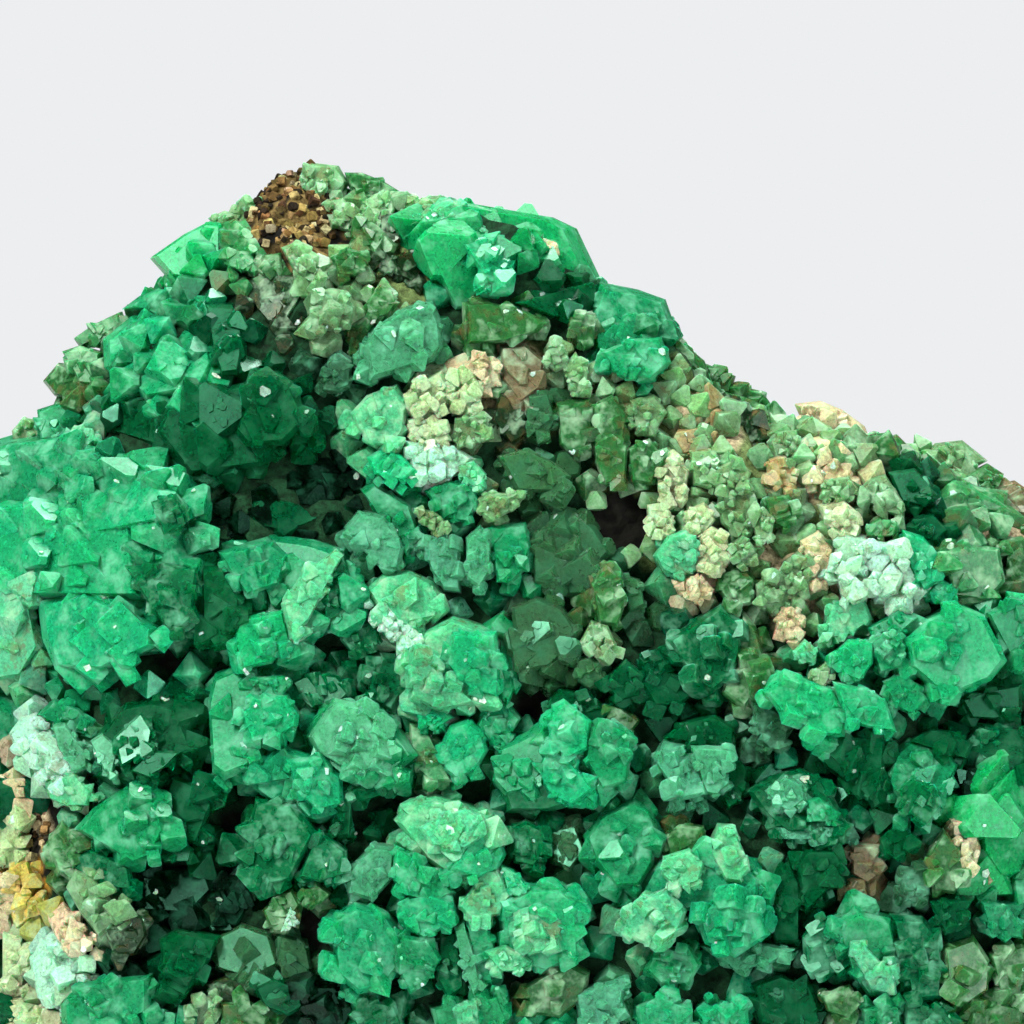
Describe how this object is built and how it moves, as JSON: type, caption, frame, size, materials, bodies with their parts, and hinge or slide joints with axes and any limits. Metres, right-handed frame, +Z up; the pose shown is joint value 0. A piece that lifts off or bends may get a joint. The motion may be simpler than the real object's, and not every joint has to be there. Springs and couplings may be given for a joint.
{
  "type": "fluorite specimen",
  "caption": "Mineral specimen: a crust of intergrown green octahedral fluorite crystals on a brown rock matrix with a flat broken base to stand on.",
  "frame": {"origin": "on the flat base of the matrix, under the middle of the specimen", "axes": "+Z up out of the base, the crystal face looks along -Y, +X to the right of someone facing the crystals"},
  "size_m": [0.1541, 0.0668, 0.1004],
  "materials": {
    "rock": "rough, broken, grainy brown rock with cream and rust staining",
    "fluorite": "clear to cloudy emerald green crystal with glossy stepped faces, index of refraction 1.434"
  },
  "bodies": {
    "root": {"matrix": "rock", "fluorite_crystals": "fluorite"}
  },
  "joints": []
}
